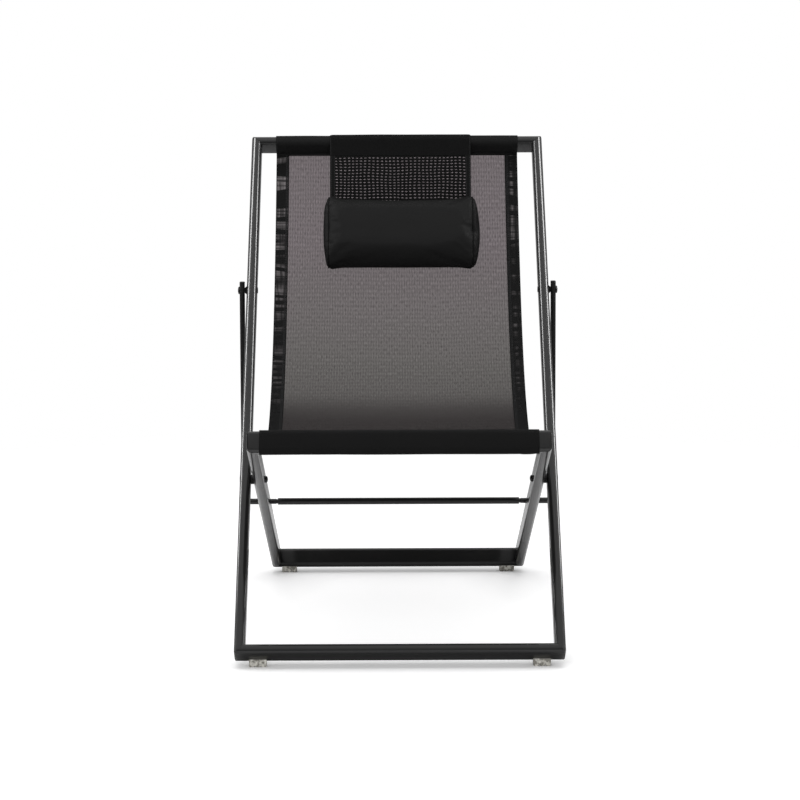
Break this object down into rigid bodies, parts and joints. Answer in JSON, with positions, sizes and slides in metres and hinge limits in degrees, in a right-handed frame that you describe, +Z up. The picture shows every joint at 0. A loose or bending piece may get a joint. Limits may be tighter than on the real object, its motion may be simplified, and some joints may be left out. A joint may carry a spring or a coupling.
{
  "type": "sling patio chair",
  "caption": "Folding sling deck chair: crossed black tube frames, a prop frame in toothed racks for recline, a hanging mesh seat and a strap-hung head pillow.",
  "frame": {"origin": "middle of the chair's footprint, on the floor", "axes": "+Z up, the sitter faces -Y, +X is across the chair, to the right in a view along +Y"},
  "size_m": [0.6368, 0.8764, 0.9415],
  "materials": {
    "frame_coat": "satin black powder coat on aluminium tube",
    "black_bolt": "black coated steel",
    "black_nylon": "moulded black nylon",
    "clear_plastic": "translucent greenish grey plastic",
    "sling_mesh": "woven coated mesh, fine open weave",
    "sling_trim": "doubled woven mesh, stitched",
    "strap_band": "woven black binding",
    "strap_mesh": "perforated black mesh",
    "pillow_cover": "matt black woven cover"
  },
  "bodies": {
    "back_frame": {"back_side_left": "frame_coat", "back_side_right": "frame_coat", "back_top_rail": "frame_coat", "back_bottom_rail": "frame_coat", "pivot_bolt_left": "black_bolt", "pivot_bolt_right": "black_bolt", "pivot_spacer_left": "black_nylon", "pivot_spacer_right": "black_nylon", "pivot_cap_nut_left": "black_bolt", "pivot_cap_nut_right": "black_bolt", "prop_bolt_left": "black_bolt", "prop_bolt_right": "black_bolt", "prop_spacer_left": "black_nylon", "prop_spacer_right": "black_nylon", "prop_nut_left": "black_bolt", "prop_nut_right": "black_bolt", "foot_front_left": "clear_plastic", "foot_front_right": "clear_plastic", "sling_top_sleeve": "sling_trim", "headrest_strap": "strap_band", "sling_panel": "sling_mesh", "sling_hem_left": "sling_trim", "sling_hem_right": "sling_trim", "headrest_mesh": "strap_mesh", "headrest_binding_left": "strap_band", "headrest_binding_right": "strap_band", "pillow": "pillow_cover"},
    "seat_frame": {"seat_side_left": "frame_coat", "seat_side_right": "frame_coat", "seat_front_rail": "frame_coat", "seat_rear_rail": "frame_coat", "pivot_bush_left": "black_nylon", "pivot_bush_right": "black_nylon", "rack_left": "clear_plastic", "rack_right": "clear_plastic", "foot_rear_left": "clear_plastic", "foot_rear_right": "clear_plastic", "sling_front_sleeve": "sling_trim"},
    "prop": {"prop_arm_left": "frame_coat", "prop_arm_right": "frame_coat", "prop_top_cap_left": "black_nylon", "prop_top_cap_right": "black_nylon", "prop_low_cap_left": "black_nylon", "prop_low_cap_right": "black_nylon", "prop_crossbar": "frame_coat"}
  },
  "joints": [
    {"name": "fold", "type": "hinge", "parent": "back_frame", "child": "seat_frame", "pos_m": [0, -0.18601, 0.30512], "axis": [1, 0, 0], "range_deg": [0, 72], "deforming": ["sling_panel", "sling_hem_left", "sling_hem_right", "headrest_mesh", "headrest_binding_left", "headrest_binding_right", "pillow"]},
    {"name": "prop_swing", "type": "hinge", "parent": "back_frame", "child": "prop", "pos_m": [0, 0.0945, 0.63942], "axis": [1, 0, 0], "range_deg": [0, 150]}
  ],
  "couplings": [
    {"joint": "prop_swing", "follows": "fold", "ratio": 2.03}
  ]
}
